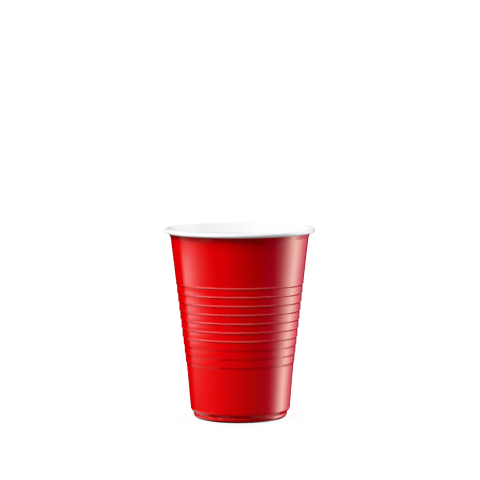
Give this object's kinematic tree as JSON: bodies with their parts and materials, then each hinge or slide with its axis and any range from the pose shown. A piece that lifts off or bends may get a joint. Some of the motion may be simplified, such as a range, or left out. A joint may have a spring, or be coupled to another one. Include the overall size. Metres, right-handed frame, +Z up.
{
  "type": "plastic party cup",
  "caption": "Thin-walled tapered plastic drinking cup, red outside and white inside, with a rolled rim, stepped grip ridges and a raised floor, for cold drinks.",
  "frame": {"origin": "centre of the standing ring, on the surface that the cup stands on", "axes": "+Z up along the cup's axis of revolution; X and Y are free, because the cup is round"},
  "size_m": [0.095, 0.095, 0.119],
  "materials": {
    "cup_sheet": "glossy red outside, white inside and on the rolled rim"
  },
  "bodies": {
    "root": {"cup": "cup_sheet"}
  },
  "joints": []
}
